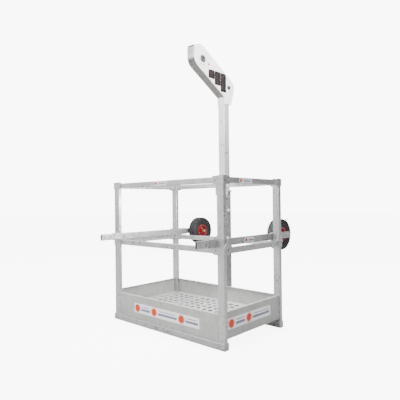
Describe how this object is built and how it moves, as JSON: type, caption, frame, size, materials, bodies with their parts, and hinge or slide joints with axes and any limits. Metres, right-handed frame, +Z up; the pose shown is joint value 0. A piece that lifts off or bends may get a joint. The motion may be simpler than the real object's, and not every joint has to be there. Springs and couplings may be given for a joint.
{
  "type": "crane-lifted work basket",
  "caption": "Galvanised crane-lifted work basket: railed cage with toe boards and perforated floor, telescopic rear mast with a lifting eye, and wheeled sliding bars.",
  "frame": {"origin": "centre of the whole object's footprint (bars and tyres included), on the ground", "axes": "+X along the cage's long side towards the side with the clamp screws, -Y to the front, mast at +Y, +Z up"},
  "size_m": [1.2188, 1.22, 2.269],
  "materials": {
    "galvanised_tube": "hot-dip galvanised, dull, fine spangle",
    "galvanised_sheet": "hot-dip galvanised sheet, dull",
    "galvanised_head": "bright fresh zinc",
    "zinc_fasteners": "zinc plated, satin",
    "zinc_yellow": "yellow passivated zinc, satin",
    "black_plastic": "matt black",
    "tyre": "dull black rubber",
    "wheel_rim": "semi-gloss red",
    "bronze": "worn bronze"
  },
  "bodies": {
    "cage": {"bar_holders_front": "galvanised_tube", "bar_holders_rear": "galvanised_tube", "base_rail_end_plates": "galvanised_tube", "base_rail_front": "galvanised_tube", "base_rail_rear": "galvanised_tube", "clamp_nuts": "zinc_fasteners", "corner_bracket_bolts": "zinc_fasteners", "floor_joists": "galvanised_tube", "floor_plate": "galvanised_sheet", "holder_lock_screws": "zinc_fasteners", "lashing_eyes": "galvanised_tube", "mast_sleeve": "galvanised_tube", "mid_corner_brackets": "galvanised_tube", "mid_rail_front": "galvanised_tube", "mid_rail_left": "galvanised_tube", "mid_rail_rear": "galvanised_tube", "mid_rail_right": "galvanised_tube", "post_caps": "black_plastic", "post_front_left": "galvanised_tube", "post_front_right": "galvanised_tube", "post_rear_left": "galvanised_tube", "post_rear_right": "galvanised_tube", "sleeve_bolts": "zinc_fasteners", "sleeve_collar": "galvanised_tube", "sleeve_foot_plate": "galvanised_tube", "sleeve_mounting_plates": "galvanised_tube", "toe_board_front": "galvanised_sheet", "toe_board_left": "galvanised_sheet", "toe_board_rear": "galvanised_sheet", "toe_board_right": "galvanised_sheet", "top_corner_brackets": "galvanised_tube", "top_rail_front": "galvanised_tube", "top_rail_left": "galvanised_tube", "top_rail_rear": "galvanised_tube", "top_rail_right": "galvanised_tube"},
    "bar_left": {"axle_hardware_left": "zinc_yellow", "axle_left": "zinc_fasteners", "bar_cap_left": "black_plastic", "bar_left": "galvanised_tube"},
    "bar_right": {"axle_hardware_right": "zinc_yellow", "axle_right": "zinc_fasteners", "bar_cap_right": "black_plastic", "bar_right": "galvanised_tube"},
    "clamp_screw_lower": {"clamp_screw_lower": "zinc_fasteners"},
    "clamp_screw_upper": {"clamp_screw_upper": "zinc_fasteners"},
    "mast": {"head_front_strip": "galvanised_head", "head_pin": "zinc_fasteners", "head_plate_left": "galvanised_head", "head_plate_right": "galvanised_head", "head_top_strip": "galvanised_head", "lifting_eye_rings": "galvanised_head", "lifting_eye_tube": "galvanised_head", "mast_tube": "galvanised_tube"},
    "wheel_left": {"hub_bush_left": "bronze", "rim_bolts_left": "zinc_fasteners", "rim_left": "wheel_rim", "tyre_left": "tyre"},
    "wheel_right": {"hub_bush_right": "bronze", "rim_bolts_right": "zinc_fasteners", "rim_right": "wheel_rim", "tyre_right": "tyre"}
  },
  "joints": [
    {"name": "mast_slide", "type": "slide", "parent": "cage", "child": "mast", "axis": [0, 0, 1], "range_m": [-0.6, 0]},
    {"name": "clamp_screw_upper_turn", "type": "hinge", "parent": "cage", "child": "clamp_screw_upper", "pos_m": [0.06, 0.318, 1.023], "axis": [1, 0, 0], "range_deg": [0, 360]},
    {"name": "clamp_screw_lower_turn", "type": "hinge", "parent": "cage", "child": "clamp_screw_lower", "pos_m": [0.06, 0.318, 0.901], "axis": [1, 0, 0], "range_deg": [0, 360]},
    {"name": "bar_left_slide", "type": "slide", "parent": "cage", "child": "bar_left", "axis": [0, 1, 0], "range_m": [-0.06, 0.8]},
    {"name": "wheel_left_spin", "type": "hinge", "parent": "bar_left", "child": "wheel_left", "pos_m": [-0.45, 0.48, 0.6995], "axis": [1, 0, 0], "continuous": true},
    {"name": "bar_right_slide", "type": "slide", "parent": "cage", "child": "bar_right", "axis": [0, 1, 0], "range_m": [-0.06, 0.8]},
    {"name": "wheel_right_spin", "type": "hinge", "parent": "bar_right", "child": "wheel_right", "pos_m": [0.45, 0.48, 0.6995], "axis": [1, 0, 0], "continuous": true}
  ]
}
